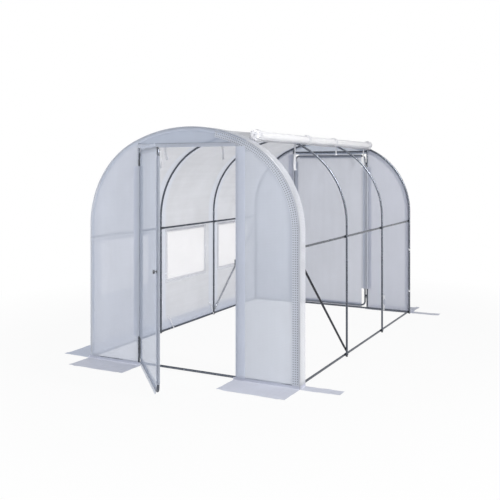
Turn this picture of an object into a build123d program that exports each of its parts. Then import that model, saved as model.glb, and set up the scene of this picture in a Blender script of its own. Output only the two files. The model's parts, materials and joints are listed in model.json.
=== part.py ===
"""A walk-in polytunnel greenhouse: four steel hoops under a film cover, with a door at each end.

Frame, in millimetres: the origin is the underside of the front left foot, X runs right across
the front, Y runs back along the tunnel and Z is up. The right side of the cover is rolled up.
"""

import os
from math import cos, radians, sin, sqrt

from build123d import *

# Tunnel
tunnel_width = 2000.0  # between the leg centre lines of a hoop
bay_length = 1000.0  # from hoop to hoop
bay_count = 3
bend_height = 1170.0  # where the straight legs end and the shoulders begin
shoulder_radius = 770.0  # centre line of the tight side bends
shoulder_angle = 65.0  # degrees turned by each side bend

# Tube and how it is joined
tube_radius = 9.5
seat = 0.3  # clearance left where one piece rests on another
tab_thickness = 2.0  # a tube end pressed flat
tab_spread = 4.0  # how much wider than the round tube that is
tab_short = 0.5  # how far a tab's end stops inside the tube's radius from its bolt
tab_length = 26.0  # from the bolt's centre to where the tube starts to open out
crimp_length = 24.0  # from the flat tab to the full round tube
plug_height = 12.0  # plastic foot in the end of each leg

# Long members
rail_height = 20.0
purlin_drop = 110.0  # below the shoulders
brace_foot_rise = 42.0  # above the rail
brace_head_drop = 70.0  # below the purlin
brace_head_inset = 6.0  # the upper bolt's distance inside its hoop

# Ends and doors, as seen from outside each end
hinge_post_offset = -493.0  # from the middle of the end
latch_post_offset = 465.0
header_drop = 35.0  # below the hoop, at the hinge post
header_flap = 25.0  # the film above each door hangs this far below the header's centre
leaf_side_gap = 8.0
leaf_bottom_gap = 12.0
leaf_top_gap = 30.5
leaf_corner_radius = 45.0
leaf_rest_angle = 44.5  # how far the front door stands open
pin_forward = 15.5  # the hinge pins stand this far outside the door frame's plane
pin_radius = 3.0
pin_clearance = 0.05
pin_past_knuckle = 3.0
knuckle_radius = 6.5
knuckle_height = 22.0
knuckle_gap = 0.4
saddle_radius = 4.5  # rounded foot of a hinge bracket, hollowed to fit its tube
hinge_inset = 110.0  # from the leaf's lower and upper edges
latch_height = 920.0
knob_radius = 14.0
knob_depth = 12.0
knob_stem_radius = 4.0
knob_stem_length = 12.0
knob_base_radius = 12.0
knob_base_thickness = 3.0
catch_height = 44.0
catch_thickness = 3.0
catch_block_width = 12.0
catch_reach = 34.0  # from its post's centre line to behind the leaf
catch_gap = 5.0  # behind the closed leaf

# Cover
film = 2.0
window_width = 680.0
window_height = 480.0
window_drop = 160.0  # from the shoulders down to the window
window_setback = 120.0  # from the hoop in front of it
mesh_thickness = 1.5
mesh_lap = 15.0
flap_roll_radius = 11.0
flap_roll_rise = 14.0  # the rolled window flap's centre above its window
front_band_width = 100.0  # cover left standing beside the end hoops on the open side
back_band_width = 12.0
notch_width = 60.0  # corner cut-outs of the door film at the hinges
lower_notch_height = 205.0
upper_notch_height = 140.0
free_corner_cut = 100.0  # cut across the door film's other corners

# Rolled-up side
roll_radius = 37.5
roll_before_shoulder = 1.5  # degrees of the crown left between the roll and the shoulder
roll_start = 135.0
roll_end_short = 100.0
tie_inset = 40.0  # from the roll's ends to its first and last tie
inner_ties = (1.155, 1.82)  # in bays from the front
tie_width = 34.0
tie_thickness = 4.0
tie_opening = 100.0  # degrees of each tie left open where the roll rests
film_under_roll = 1.0  # degrees of film past the roll's line of rest

# Skirt lying on the ground
left_skirt = 300.0
hinge_side_skirt = 330.0
latch_side_skirt = 400.0
skirt_past_corner = 30.0
skirt_past_post = 30.0
band_skirt = 320.0
band_skirt_width = 100.0
back_band_skirt_gap = 20.0  # behind the back hoop

# Worked out
tunnel_length = bay_count * bay_length
middle = tunnel_width / 2
hoop_places = [n * bay_length for n in range(bay_count + 1)]
hoop_names = ["front", "second", "third", "back"]
crown_half_angle = 90 - shoulder_angle
crown_half_width = middle - shoulder_radius * (1 - cos(radians(shoulder_angle)))
crown_radius = crown_half_width / sin(radians(crown_half_angle))
crown_centre = (
    bend_height
    + shoulder_radius * sin(radians(shoulder_angle))
    - crown_radius * cos(radians(crown_half_angle))
)
shoulder_centre = middle - shoulder_radius  # out from the tunnel's middle
purlin_height = bend_height - purlin_drop
window_sill = bend_height - window_drop - window_height
cover_inside = tube_radius + seat
cover_outside = cover_inside + film
inset = tube_radius + seat + tab_thickness + seat / 2  # side members' centre line off the hoops'
tab_step = (tab_thickness + seat) / 2  # a tab's centre off its tube's centre line
tab_width = 2 * tube_radius + tab_spread
tab_reach = tube_radius - tab_short  # past the bolt's centre
end_rail_half = middle - tube_radius - tab_thickness - 2 * seat
pin_offset = tube_radius + leaf_side_gap / 2  # from the hinge post to the pin
leaf_start = leaf_side_gap / 2  # from the pin to the leaf's edge
leaf_width = latch_post_offset - hinge_post_offset - 2 * (tube_radius + leaf_side_gap)
ground_to_film = film + seat
roll_angle = crown_half_angle - roll_before_shoulder  # from the top of the hoop


def hoop_height(across):
    """Height of a hoop's centre line at a distance across from the tunnel's middle."""
    if abs(across) <= crown_half_width:
        return crown_centre + sqrt(crown_radius**2 - across**2)
    return bend_height + sqrt(shoulder_radius**2 - (abs(across) - shoulder_centre) ** 2)


header_height = hoop_height(hinge_post_offset) - header_drop
leaf_bottom = rail_height + tube_radius + leaf_bottom_gap
leaf_top = header_height - tube_radius - leaf_top_gap

ends = {
    "front": Plane(origin=(middle, 0, 0), x_dir=(1, 0, 0), z_dir=(0, -1, 0)),
    "back": Plane(origin=(middle, tunnel_length, 0), x_dir=(-1, 0, 0), z_dir=(0, 1, 0)),
}

os.makedirs("parts", exist_ok=True)


def save(builder, name):
    builder.part.label = name
    export_step(builder.part, f"parts/{name}.step")


# Shapes that repeat ------------------------------------------------------------------------


def straight_tube(start, end, radius=tube_radius):
    run = Vector(*end) - Vector(*start)
    with BuildPart() as tube:
        with BuildSketch(Plane(origin=start, z_dir=run)):
            Circle(radius)
        extrude(amount=run.length)
    return tube.part


def crimped_tube(start, end, inward, start_step, end_step):
    """Tube pressed flat at both ends, from bolt centre to bolt centre. Inward points away from
    the hoops, and each step shifts that end's tab along it."""
    run = Vector(*end) - Vector(*start)
    along = Plane(origin=start, x_dir=inward, z_dir=run)
    round_start = tab_length + crimp_length
    with BuildPart() as tube:
        with BuildSketch(along.offset(round_start)):
            Circle(tube_radius)
        extrude(amount=run.length - 2 * round_start)
        for step, place, outwards in (
            (start_step, 0, -1),
            (end_step, run.length, 1),
        ):
            tab_plane = along.offset(place - outwards * tab_length)
            with BuildSketch(tab_plane):
                with Locations((step, 0)):
                    Rectangle(tab_thickness, tab_width)
            with BuildSketch(along.offset(place - outwards * round_start)):
                Circle(tube_radius)
            loft()
            with BuildSketch(tab_plane):
                with Locations((step, 0)):
                    Rectangle(tab_thickness, tab_width)
            extrude(amount=outwards * (tab_length + tab_reach))
    return tube.part


def hoop_shoulder(y, side, radius=tube_radius):
    """Side bend of a hoop: side is -1 on the left and 1 on the right."""
    with BuildPart() as shoulder:
        with BuildSketch(Plane.XY.offset(bend_height)):
            with Locations((middle + side * middle, y)):
                Circle(radius)
        revolve(
            axis=Axis((middle + side * shoulder_centre, y, bend_height), (0, -side, 0)),
            revolution_arc=shoulder_angle,
        )
    return shoulder.part


def hoop_crown(y, radius=tube_radius):
    rise = radians(crown_half_angle)
    left_end = Plane(
        origin=(middle - crown_half_width, y, crown_centre + crown_radius * cos(rise)),
        z_dir=(cos(rise), 0, sin(rise)),
    )
    with BuildPart() as crown:
        with BuildSketch(left_end):
            Circle(radius)
        revolve(
            axis=Axis((middle, y, crown_centre), (0, 1, 0)),
            revolution_arc=2 * crown_half_angle,
        )
    return crown.part


def ring_sector(centre, inner, outer, start, turn):
    with BuildSketch() as sector:
        with BuildLine():
            outside = CenterArc(centre, outer, start, turn)
            inside = CenterArc(centre, inner, start, turn)
            Line(outside @ 0, inside @ 0)
            Line(outside @ 1, inside @ 1)
        make_face()
    return sector.sketch


def gable(reach):
    """A whole end, out to reach past the hoop's centre line."""
    with BuildSketch() as outline:
        with BuildLine():
            CenterArc(
                (0, crown_centre), crown_radius + reach, shoulder_angle, 2 * crown_half_angle
            )
            right = CenterArc(
                (shoulder_centre, bend_height), shoulder_radius + reach, 0, shoulder_angle
            )
            left = CenterArc(
                (-shoulder_centre, bend_height), shoulder_radius + reach, 180, -shoulder_angle
            )
            Polyline(right @ 0, (middle + reach, 0), (-middle - reach, 0), left @ 0)
        make_face()
    return outline.sketch


# Hoops -------------------------------------------------------------------------------------

for hoop_name, y in zip(hoop_names, hoop_places):
    with BuildPart() as legs:
        with BuildSketch(Plane.XY.offset(plug_height)):
            with Locations((0, y), (tunnel_width, y)):
                Circle(tube_radius)
        extrude(amount=bend_height - plug_height)
    save(legs, f"{hoop_name}_hoop_legs")

    with BuildPart() as shoulders:
        for side in (-1, 1):
            add(hoop_shoulder(y, side))
    save(shoulders, f"{hoop_name}_hoop_shoulders")

    with BuildPart() as crown:
        add(hoop_crown(y))
    save(crown, f"{hoop_name}_hoop_crown")

with BuildPart() as foot_plugs:
    with BuildSketch():
        with Locations(*[(x, y) for x in (0, tunnel_width) for y in hoop_places]):
            Circle(tube_radius)
    extrude(amount=plug_height)
save(foot_plugs, "foot_plugs")

# Rails, purlins and braces -------------------------------------------------------------------

long_members = {
    "left_bottom_rails": (inset, rail_height, (1, 0, 0)),
    "right_bottom_rails": (tunnel_width - inset, rail_height, (-1, 0, 0)),
    "left_purlins": (inset, purlin_height, (1, 0, 0)),
    "right_purlins": (tunnel_width - inset, purlin_height, (-1, 0, 0)),
    "ridge_purlins": (middle, hoop_height(0) - inset, (0, 0, -1)),
}
for name, (x, z, inward) in long_members.items():
    with BuildPart() as members:
        for bay, y in enumerate(hoop_places[:-1]):
            # Each far tab lies on the next member's near tab, except on the last hoop.
            far_step = -tab_step if bay == bay_count - 1 else tab_step
            add(crimped_tube((x, y, z), (x, y + bay_length, z), inward, -tab_step, far_step))
    save(members, name)

braces = (
    # across, bolt on the inner hoop, bolt on the end hoop, away from the hoops
    (tunnel_width - inset, bay_length, brace_head_inset, (-1, 0, 0)),
    (inset, tunnel_length - bay_length, tunnel_length - brace_head_inset, (1, 0, 0)),
)
with BuildPart() as corner_braces:
    for x, foot_y, head_y, inward in braces:
        foot = (x, foot_y, rail_height + brace_foot_rise)
        head = (x, head_y, purlin_height - brace_head_drop)
        add(crimped_tube(foot, head, inward, -tab_step, -tab_step))
save(corner_braces, "corner_braces")

# Frame of the two ends ------------------------------------------------------------------------


def at(end, u, v, w):
    """Point u to the right, v up and w outwards of an end's foot line, seen from outside."""
    return tuple(ends[end].from_local_coords(Vector(u, v, w)))


def end_rail(end, half_length, radius=tube_radius):
    return straight_tube(
        at(end, -half_length, rail_height, 0), at(end, half_length, rail_height, 0), radius
    )


def door_post(end, u, radius=tube_radius):
    return straight_tube(
        at(end, u, rail_height, 0), at(end, u, hoop_height(u), 0), radius
    )


def coped_post(end, u):
    """A door post hollowed at both ends, to sit on its rail and against its hoop."""
    y = ends[end].origin.Y
    with BuildPart() as post:
        add(door_post(end, u))
        add(end_rail(end, middle, cover_inside), mode=Mode.SUBTRACT)
        add(hoop_crown(y, cover_inside), mode=Mode.SUBTRACT)
        for side in (-1, 1):
            add(hoop_shoulder(y, side, cover_inside), mode=Mode.SUBTRACT)
    return post.part


with BuildPart() as end_rails:
    for end in ends:
        add(end_rail(end, end_rail_half))
save(end_rails, "end_rails")

with BuildPart() as door_posts:
    for end in ends:
        for u in (hinge_post_offset, latch_post_offset):
            add(coped_post(end, u))
save(door_posts, "door_posts")

with BuildPart() as door_headers:
    for end in ends:
        add(straight_tube(
            at(end, hinge_post_offset, header_height, 0),
            at(end, latch_post_offset, header_height, 0),
        ))
    for end in ends:
        for u in (hinge_post_offset, latch_post_offset):
            add(door_post(end, u, cover_inside), mode=Mode.SUBTRACT)
save(door_headers, "door_headers")

# Hinges and catches on the posts ----------------------------------------------------------------

hinge_heights = (leaf_bottom + hinge_inset, leaf_top - hinge_inset)


def hinge_arm(plane, tube_side, bore=None):
    """One leaf of a hinge, drawn round its pin: an arm hollowed to fit the tube on that side."""
    with BuildSketch(plane) as arm:
        Circle(knuckle_radius)
        with Locations((tube_side * pin_offset / 2, pin_forward - saddle_radius / 2)):
            Circle(saddle_radius)
        make_hull()
        if bore:
            Circle(bore, mode=Mode.SUBTRACT)
        with Locations((tube_side * pin_offset, pin_forward)):
            Circle(cover_inside, mode=Mode.SUBTRACT)
    return arm.sketch


with BuildPart() as hinge_brackets:
    for end, plane in ends.items():
        pin_foot = Plane(
            origin=at(end, hinge_post_offset + pin_offset, 0, pin_forward),
            x_dir=plane.x_dir,
            z_dir=(0, 0, 1),
        )
        for height in hinge_heights:
            bracket_foot = pin_foot.offset(height - knuckle_height)
            extrude(hinge_arm(bracket_foot, -1), amount=knuckle_height)
            with BuildSketch(pin_foot.offset(height)):
                Circle(pin_radius)
            extrude(amount=knuckle_gap + knuckle_height + pin_past_knuckle)
save(hinge_brackets, "hinge_brackets")

with BuildPart() as door_catches:
    for end, plane in ends.items():
        catch_plane = Plane(
            origin=at(end, latch_post_offset, latch_height - catch_height / 2, 0),
            x_dir=-plane.x_dir,
            z_dir=(0, 0, 1),
        )
        back_of_leaf = tube_radius + catch_gap
        with BuildSketch(catch_plane):
            with Locations((0, -cover_inside)):
                Rectangle(
                    catch_block_width, back_of_leaf - cover_inside,
                    align=(Align.CENTER, Align.MAX),
                )
            with Locations((-catch_block_width / 2, -back_of_leaf)):
                Rectangle(
                    catch_block_width / 2 + catch_reach, catch_thickness,
                    align=(Align.MIN, Align.MAX),
                )
        extrude(amount=catch_height)
save(door_catches, "door_catches")

# Doors ------------------------------------------------------------------------------------------

open_angles = {"front": leaf_rest_angle, "back": 0.0}
near = leaf_start + tube_radius
far = leaf_start + leaf_width - tube_radius
low = leaf_bottom + tube_radius
high = leaf_top - tube_radius

for end, plane in ends.items():
    # The leaf's own plane stands on the hinge axis and turns with the leaf.
    turned = radians(open_angles[end])
    across, outwards = plane.x_dir, plane.z_dir
    leaf_plane = Plane(
        origin=at(end, hinge_post_offset + pin_offset, 0, pin_forward),
        x_dir=across * cos(turned) + outwards * sin(turned),
        z_dir=outwards * cos(turned) - across * sin(turned),
    )
    tube_plane = leaf_plane.offset(-pin_forward)

    with BuildPart() as leaf_frame:
        with BuildLine(tube_plane) as loop:
            FilletPolyline(
                (near, low), (far, low), (far, high), (near, high),
                radius=leaf_corner_radius, close=True,
            )
        with BuildSketch(Plane(origin=loop.line @ 0, z_dir=loop.line % 0)):
            Circle(tube_radius)
        sweep(path=loop.line)
    save(leaf_frame, f"{end}_door_frame")

    with BuildPart() as leaf_film:
        with BuildSketch(tube_plane.offset(cover_inside)):
            with Locations((leaf_start, leaf_bottom)):
                Rectangle(leaf_width, leaf_top - leaf_bottom, align=(Align.MIN, Align.MIN))
            for v, notch_height in (
                (leaf_bottom, lower_notch_height),
                (leaf_top - upper_notch_height, upper_notch_height),
            ):
                with Locations((leaf_start, v)):
                    Rectangle(
                        notch_width, notch_height,
                        align=(Align.MIN, Align.MIN), mode=Mode.SUBTRACT,
                    )
            for v in (leaf_bottom, leaf_top):
                with Locations((leaf_start + leaf_width, v)):
                    Rectangle(
                        free_corner_cut, free_corner_cut, rotation=45, mode=Mode.SUBTRACT
                    )
        extrude(amount=film)
    save(leaf_film, f"{end}_door_film")

    # Knuckles that turn on the bracket pins, and a knob to pull the door by
    with BuildPart() as fittings:
        leaf_foot = Plane(origin=leaf_plane.origin, x_dir=leaf_plane.x_dir, z_dir=(0, 0, 1))
        for height in hinge_heights:
            knuckle_foot = leaf_foot.offset(height + knuckle_gap)
            knuckle = hinge_arm(knuckle_foot, 1, pin_radius + pin_clearance)
            extrude(knuckle, amount=knuckle_height)
        knob_plane = Plane(
            origin=tube_plane.from_local_coords(
                Vector(far, latch_height, cover_outside + seat)
            ),
            x_dir=tube_plane.x_dir,
            z_dir=tube_plane.z_dir,
        )
        for radius, rise, depth in (
            (knob_base_radius, 0, knob_base_thickness),
            (knob_stem_radius, knob_base_thickness, knob_stem_length),
            (knob_radius, knob_base_thickness + knob_stem_length, knob_depth),
        ):
            with BuildSketch(knob_plane.offset(rise)):
                Circle(radius)
            extrude(amount=depth)
    save(fittings, f"{end}_door_fittings")

# Film over the ends ------------------------------------------------------------------------------

door_edge = latch_post_offset - tube_radius
header_edge = header_height - header_flap
panels = {
    "hinge_side": (-middle - cover_outside, hinge_post_offset, ground_to_film),
    "latch_side": (door_edge, middle + cover_outside, ground_to_film),
    "top": (hinge_post_offset + seat, door_edge - seat, header_edge),
}
for end, plane in ends.items():
    for panel_name, (left, right, bottom) in panels.items():
        with BuildPart() as panel:
            with BuildSketch(plane.offset(cover_inside)):
                add(gable(tube_radius))
                with Locations((left, bottom)):
                    Rectangle(
                        right - left, hoop_height(0),
                        align=(Align.MIN, Align.MIN), mode=Mode.INTERSECT,
                    )
            extrude(amount=film)
        save(panel, f"{end}_{panel_name}_panel")

# Long cover ------------------------------------------------------------------------------------

cover_front = -cover_outside
cover_length = tunnel_length + 2 * cover_outside
window_starts = [y + window_setback for y in hoop_places[:-1]]

with BuildPart() as left_wall_film:
    with BuildSketch(Plane.YZ.offset(-cover_outside)):
        with Locations((cover_front, ground_to_film)):
            Rectangle(
                cover_length, bend_height - ground_to_film, align=(Align.MIN, Align.MIN)
            )
        with Locations(*[(y, window_sill) for y in window_starts]):
            Rectangle(
                window_width, window_height,
                align=(Align.MIN, Align.MIN), mode=Mode.SUBTRACT,
            )
    extrude(amount=film)
save(left_wall_film, "left_wall_film")

with BuildPart() as window_meshes:
    with BuildSketch(Plane.YZ.offset(-tube_radius)):
        with Locations(*[(y - mesh_lap, window_sill - mesh_lap) for y in window_starts]):
            Rectangle(
                window_width + 2 * mesh_lap, window_height + 2 * mesh_lap,
                align=(Align.MIN, Align.MIN),
            )
    extrude(amount=mesh_thickness)
save(window_meshes, "window_meshes")

with BuildPart() as window_flaps:
    flap_x = -cover_outside - seat - flap_roll_radius
    flap_z = window_sill + window_height + flap_roll_rise
    for y in window_starts:
        add(
            straight_tube(
                (flap_x, y - mesh_lap, flap_z),
                (flap_x, y + window_width + mesh_lap, flap_z),
                flap_roll_radius,
            )
        )
save(window_flaps, "window_flaps")

across_back = Plane(origin=(0, cover_front, 0), x_dir=(1, 0, 0), z_dir=(0, -1, 0))

with BuildPart() as left_shoulder_film:
    with BuildSketch(across_back):
        add(ring_sector(
            (shoulder_radius, bend_height),
            shoulder_radius + cover_inside,
            shoulder_radius + cover_outside,
            180,
            -shoulder_angle,
        ))
    extrude(amount=-cover_length)
save(left_shoulder_film, "left_shoulder_film")

with BuildPart() as crown_film:
    with BuildSketch(across_back):
        add(ring_sector(
            (middle, crown_centre),
            crown_radius + cover_inside,
            crown_radius + cover_outside,
            90 + crown_half_angle,
            -(crown_half_angle + roll_angle + film_under_roll),
        ))
    extrude(amount=-cover_length)
save(crown_film, "crown_film")

# Cover left standing beside the end hoops on the open side
with BuildPart() as side_bands:
    for y, band_width in (
        (cover_front, front_band_width),
        (tunnel_length + cover_outside - back_band_width, back_band_width),
    ):
        with BuildSketch(Plane(origin=(0, y, 0), x_dir=(1, 0, 0), z_dir=(0, -1, 0))):
            add(ring_sector(
                (tunnel_width - shoulder_radius, bend_height),
                shoulder_radius + cover_inside,
                shoulder_radius + cover_outside,
                0,
                shoulder_angle,
            ))
            with Locations((tunnel_width + cover_inside, ground_to_film)):
                Rectangle(film, bend_height - ground_to_film, align=(Align.MIN, Align.MIN))
        extrude(amount=-band_width)
save(side_bands, "side_bands")

# Rolled-up side and its ties ---------------------------------------------------------------------

roll_reach = crown_radius + cover_outside + seat + roll_radius
roll_x = middle + roll_reach * sin(radians(roll_angle))
roll_z = crown_centre + roll_reach * cos(radians(roll_angle))
roll_stop = tunnel_length - roll_end_short

with BuildPart() as rolled_side_film:
    add(straight_tube((roll_x, roll_start, roll_z), (roll_x, roll_stop, roll_z), roll_radius))
save(rolled_side_film, "rolled_side_film")

tie_places = [
    roll_start + tie_inset,
    *[bays * bay_length for bays in inner_ties],
    roll_stop - tie_inset,
]
with BuildPart() as roll_ties:
    for y in tie_places:
        with BuildSketch(
            Plane(origin=(0, y - tie_width / 2, 0), x_dir=(1, 0, 0), z_dir=(0, -1, 0))
        ):
            add(ring_sector(
                (roll_x, roll_z),
                roll_radius + seat,
                roll_radius + seat + tie_thickness,
                270 - roll_angle + tie_opening / 2,
                360 - tie_opening,
            ))
        extrude(amount=-tie_width)
save(roll_ties, "roll_ties")

# Skirts lying on the ground ---------------------------------------------------------------------

band_skirt_ys = (cover_front, tunnel_length + back_band_skirt_gap)
with BuildPart() as ground_skirts:
    with BuildSketch():
        with Locations((-cover_inside, -tube_radius)):
            Rectangle(
                left_skirt, tunnel_length + 2 * tube_radius, align=(Align.MAX, Align.MIN)
            )
        with Locations(*[(tunnel_width + cover_inside, y) for y in band_skirt_ys]):
            Rectangle(band_skirt, band_skirt_width, align=(Align.MIN, Align.MIN))
        for end in ends:
            hinge_corner = at(end, -middle - skirt_past_corner, 0, cover_inside)
            hinge_far = at(
                end, hinge_post_offset + skirt_past_post, 0, cover_inside + hinge_side_skirt
            )
            latch_corner = at(end, middle + tube_radius, 0, cover_inside)
            latch_far = at(
                end, latch_post_offset - skirt_past_post, 0, cover_inside + latch_side_skirt
            )
            for a, b in ((hinge_corner, hinge_far), (latch_corner, latch_far)):
                with Locations(((a[0] + b[0]) / 2, (a[1] + b[1]) / 2)):
                    Rectangle(abs(a[0] - b[0]), abs(a[1] - b[1]))
    extrude(amount=film)
save(ground_skirts, "ground_skirts")
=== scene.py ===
"""Walk-in polytunnel greenhouse: the looks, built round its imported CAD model.

Everything is in metres in the CAD's frame: X right across the front, Y back along the tunnel, Z up.
Steel parts are the CAD's own. Every sheet of film, net and ribbon is built here over its CAD solid.
"""

import json
from math import asin, cos, inf, pi, radians, sin, sqrt

import bpy
import numpy as np
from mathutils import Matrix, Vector


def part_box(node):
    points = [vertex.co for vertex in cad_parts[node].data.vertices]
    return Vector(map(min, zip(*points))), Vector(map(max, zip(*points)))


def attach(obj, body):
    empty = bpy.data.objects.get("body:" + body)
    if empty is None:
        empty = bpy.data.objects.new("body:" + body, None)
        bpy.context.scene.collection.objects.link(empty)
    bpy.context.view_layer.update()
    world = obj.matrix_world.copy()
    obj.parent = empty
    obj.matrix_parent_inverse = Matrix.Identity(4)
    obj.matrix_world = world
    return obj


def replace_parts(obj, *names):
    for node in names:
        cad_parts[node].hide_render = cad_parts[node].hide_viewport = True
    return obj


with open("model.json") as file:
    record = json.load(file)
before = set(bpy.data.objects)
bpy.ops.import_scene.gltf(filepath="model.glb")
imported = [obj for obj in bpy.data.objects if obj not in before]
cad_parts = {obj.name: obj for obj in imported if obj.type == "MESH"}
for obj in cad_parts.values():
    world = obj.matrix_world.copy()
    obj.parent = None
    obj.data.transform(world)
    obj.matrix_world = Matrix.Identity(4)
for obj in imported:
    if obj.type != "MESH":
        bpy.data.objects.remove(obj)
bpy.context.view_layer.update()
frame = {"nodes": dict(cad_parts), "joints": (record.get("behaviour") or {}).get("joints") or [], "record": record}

ENDS = ("front", "back")
HOOPS = ("front", "second", "third", "back")

# Measures read from the frame


def centre(node):
    """Middle x, y and z of a CAD node's box."""
    return [(low + high) / 2 for low, high in zip(*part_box(node))]


legs_low, legs_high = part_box("front_hoop_legs")
TUBE = (legs_high.y - legs_low.y) / 2  # a tube's radius
LEFT, RIGHT = legs_low.x + TUBE, legs_high.x - TUBE
MIDDLE = (LEFT + RIGHT) / 2
HALF = MIDDLE - LEFT
BEND = legs_high.z
HOOP_YS = [centre(f"{hoop}_hoop_legs")[1] for hoop in HOOPS]
LENGTH = HOOP_YS[-1]
BAY = HOOP_YS[1] - HOOP_YS[0]
SHOULDER_ANGLE = radians(65)
CROWN_HALF_ANGLE = pi / 2 - SHOULDER_ANGLE
crown_low, crown_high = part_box("front_hoop_crown")
crown_half = (crown_high.x - crown_low.x) / 2 - TUBE * sin(CROWN_HALF_ANGLE)
CROWN_RADIUS = crown_half / sin(CROWN_HALF_ANGLE)
CROWN_CENTRE = crown_high.z - TUBE - CROWN_RADIUS
SHOULDER_RADIUS = (HALF - crown_half) / (1 - cos(SHOULDER_ANGLE))
SHOULDER_CENTRE = HALF - SHOULDER_RADIUS

# Distances round a hoop from its left foot
SHOULDER_END = BEND + SHOULDER_RADIUS * SHOULDER_ANGLE
CROWN_END = SHOULDER_END + CROWN_RADIUS * 2 * CROWN_HALF_ANGLE
FAR_SHOULDER_END = CROWN_END + SHOULDER_RADIUS * SHOULDER_ANGLE
GIRTH = FAR_SHOULDER_END + BEND

# Distances of the film's layers from the hoops' centre lines
wall_low, wall_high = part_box("left_wall_film")
FILM_IN, FILM_OUT = LEFT - wall_high.x, LEFT - wall_low.x
FILM = (FILM_IN + FILM_OUT) / 2
BAND_LIFT, LIFT, NET_LIFT, SKIRT_LIFT = (FILM + gap for gap in (0.0006, 0.0014, 0.0018, 0.0024))

# Across from the middle of an end, seen from outside, and up
panel_low, panel_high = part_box("front_hinge_side_panel")
GROUND_CLEAR = panel_low.z
HINGE_POST = panel_high.x - MIDDLE
LATCH_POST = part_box("front_latch_side_panel")[0].x + TUBE - MIDDLE
LATCH_EDGE = LATCH_POST - TUBE
HEADER = centre("door_headers")[2]
TOP_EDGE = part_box("front_top_panel")[0].z

leaf_low, leaf_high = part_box("back_door_film")
LEAF_WIDTH = leaf_high.x - leaf_low.x
LEAF_BOTTOM, LEAF_TOP = leaf_low.z, leaf_high.z
JOINTS = {joint["name"]: joint for joint in frame["joints"]}
PIN_FORWARD = -JOINTS["front_door_hinge"]["pos_m"][1]
LEAF_START = JOINTS["back_door_hinge"]["pos_m"][0] - leaf_high.x  # from the pin to the leaf's edge

# Numbers, places and objects


def stack(*parts):
    """Coordinates, broadcast together, as points or flat places."""
    return np.stack(np.broadcast_arrays(*parts), -1)


def grid(down, along):
    return np.meshgrid(down, along, indexing="ij")


def noise(x, y, seed):
    """Value noise from -1 to 1 that changes over about one unit of x and of y."""
    size = 64
    lattice = np.random.RandomState(seed).uniform(-1, 1, (size, size))
    x, y = np.broadcast_arrays(np.asarray(x, float), np.asarray(y, float))
    column, row = np.floor(x).astype(int), np.floor(y).astype(int)
    fx, fy = x - column, y - row
    fx, fy = fx * fx * (3 - 2 * fx), fy * fy * (3 - 2 * fy)

    def corner(right, up):
        return lattice[(column + right) % size, (row + up) % size]

    low = corner(0, 0) * (1 - fx) + corner(1, 0) * fx
    high = corner(0, 1) * (1 - fx) + corner(1, 1) * fx
    return low * (1 - fy) + high * fy


def lines(start, stop, step=0.02, through=()):
    """Grid lines from start to stop, about a step apart, that pass through the given places."""
    marks = sorted({start, stop, *[p for p in through if start < p < stop]})
    parts = [
        np.linspace(a, b, max(1, round((b - a) / step)), endpoint=False)
        for a, b in zip(marks[:-1], marks[1:])
    ]
    return np.concatenate([*parts, [stop]])


def cells_between(edges, low, high):
    """Which of the cells between grid lines have their middles between two places."""
    middles = (edges[:-1] + edges[1:]) / 2
    return (middles > low) & (middles < high)


def rise(x, length):
    """0 up to x = 0, and 1 from a length on."""
    return np.clip(x / length, 0, 1)


def hump(x, width):
    """1 at x = 0, and less to both sides of it."""
    return np.exp(-((x / width) ** 2))


def running_sum(steps):
    return np.concatenate([[0], np.cumsum(steps)])


def distances(points):
    """How far along a line of points each of them is."""
    return running_sum(np.linalg.norm(np.diff(points, axis=0), axis=1))


def hoop_line(s):
    """Points x, z of a hoop's centre line at distances s from its left foot, and their normals."""
    stretches = [s <= stop for stop in (BEND, SHOULDER_END, CROWN_END, FAR_SHOULDER_END)]
    angle = np.select(  # the normal's angle from the +X axis
        stretches,
        [
            pi,
            pi - (s - BEND) / SHOULDER_RADIUS,
            pi / 2 + CROWN_HALF_ANGLE - (s - SHOULDER_END) / CROWN_RADIUS,
            SHOULDER_ANGLE - (s - CROWN_END) / SHOULDER_RADIUS,
        ],
        0.0,
    )
    nx, nz = np.cos(angle), np.sin(angle)
    over, up = SHOULDER_RADIUS * nx, BEND + SHOULDER_RADIUS * nz
    bends = LEFT + SHOULDER_RADIUS + over, RIGHT - SHOULDER_RADIUS + over
    x = np.select(stretches, [LEFT, bends[0], MIDDLE + CROWN_RADIUS * nx, bends[1]], RIGHT)
    z = np.select(stretches, [s, up, CROWN_CENTRE + CROWN_RADIUS * nz, up], GIRTH - s)
    return x, z, nx, nz


def hoop_s(across):
    """Distance along a hoop to a place on its crown, across from the middle."""
    return SHOULDER_END + CROWN_RADIUS * (CROWN_HALF_ANGLE + asin(across / CROWN_RADIUS))


def hoop_top(u, reach=0.0):
    """Height of an end hoop at a distance u across from the middle, reach outside its centre line."""
    u = np.abs(np.asarray(u, float))
    crown = CROWN_CENTRE + np.sqrt(np.maximum((CROWN_RADIUS + reach) ** 2 - u**2, 0))
    side = np.maximum((SHOULDER_RADIUS + reach) ** 2 - np.maximum(u - SHOULDER_CENTRE, 0) ** 2, 0)
    on_crown = u <= (CROWN_RADIUS + reach) * sin(CROWN_HALF_ANGLE)
    return np.where(on_crown, crown, BEND + np.sqrt(side))


def at(end, u, v, w):
    """Points u to the right, v up and w outwards of an end, seen from outside."""
    return stack(MIDDLE + u, -w, v) if end == "front" else stack(MIDDLE - u, LENGTH + w, v)


def add_object(name, data):
    made = bpy.data.objects.new(name, data)
    bpy.context.collection.objects.link(made)
    return made


# Materials

WHITE = (1.0, 1.0, 1.0, 1.0)


def tone(colour, factor):
    return (*[min(1.0, c * factor) for c in colour], 1.0)


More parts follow.
